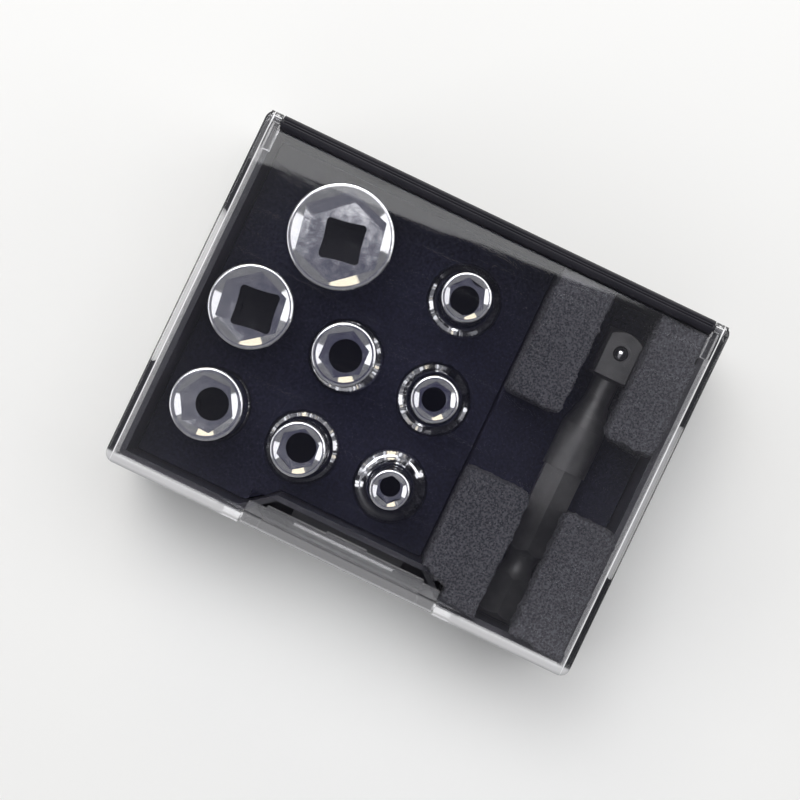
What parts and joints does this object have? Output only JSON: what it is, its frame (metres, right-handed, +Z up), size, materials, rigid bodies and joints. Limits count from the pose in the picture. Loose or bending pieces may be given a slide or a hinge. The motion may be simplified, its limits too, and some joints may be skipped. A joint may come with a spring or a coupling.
{
  "type": "socket organizer case",
  "caption": "Small hinged case with a clear snap-latched lid over a black tray, holding quarter-inch-drive hex sockets and a square-drive bit adapter in foam.",
  "frame": {"origin": "centre of the case's footprint, at the underside of the foot", "axes": "+X along the long side towards the adapter, +Y towards the hinge, +Z up out of the lid"},
  "size_m": [0.08, 0.0604, 0.031],
  "materials": {
    "tray_black": "moulded black, faintly textured",
    "clear_plastic": "clear moulded plastic, polished",
    "foam_lower": "black closed-cell foam",
    "foam_upper": "charcoal foam with an open, grainy surface",
    "socket_chrome": "polished chrome plate",
    "adapter_steel": "dark grey phosphated steel",
    "ball_steel": "polished hardened steel",
    "spring_steel": "drawn spring wire"
  },
  "bodies": {
    "case": {"base_tray": "tray_black", "socket_foam": "foam_lower", "adapter_foam": "foam_lower", "foam_pad_rear_left": "foam_upper", "foam_pad_rear_right": "foam_upper", "foam_pad_front_left": "foam_upper", "foam_pad_front_right": "foam_upper", "socket_13mm": "socket_chrome", "socket_10mm": "socket_chrome", "socket_8mm": "socket_chrome", "socket_7mm": "socket_chrome", "socket_6mm": "socket_chrome", "socket_5_5mm": "socket_chrome", "socket_5mm": "socket_chrome", "socket_4mm": "socket_chrome", "adapter_body": "adapter_steel", "detent_spring": "spring_steel"},
    "lid": {"clear_lid": "clear_plastic"},
    "latch": {"latch_flap": "clear_plastic"},
    "ball": {"detent_ball": "ball_steel"}
  },
  "joints": [
    {"name": "lid_hinge", "type": "hinge", "parent": "case", "child": "lid", "pos_m": [0, 0.02905, 0.02985], "axis": [-1, 0, 0], "range_deg": [0, 105]},
    {"name": "latch_pivot", "type": "hinge", "parent": "lid", "child": "latch", "pos_m": [0, -0.0292, 0.0283], "axis": [-1, 0, 0], "range_deg": [0, 70]},
    {"name": "ball_press", "type": "slide", "parent": "case", "child": "ball", "axis": [0, 0, -1], "range_m": [0, 0.00045], "stiffness_N_per_m": 300, "deforming": ["detent_spring"]}
  ]
}
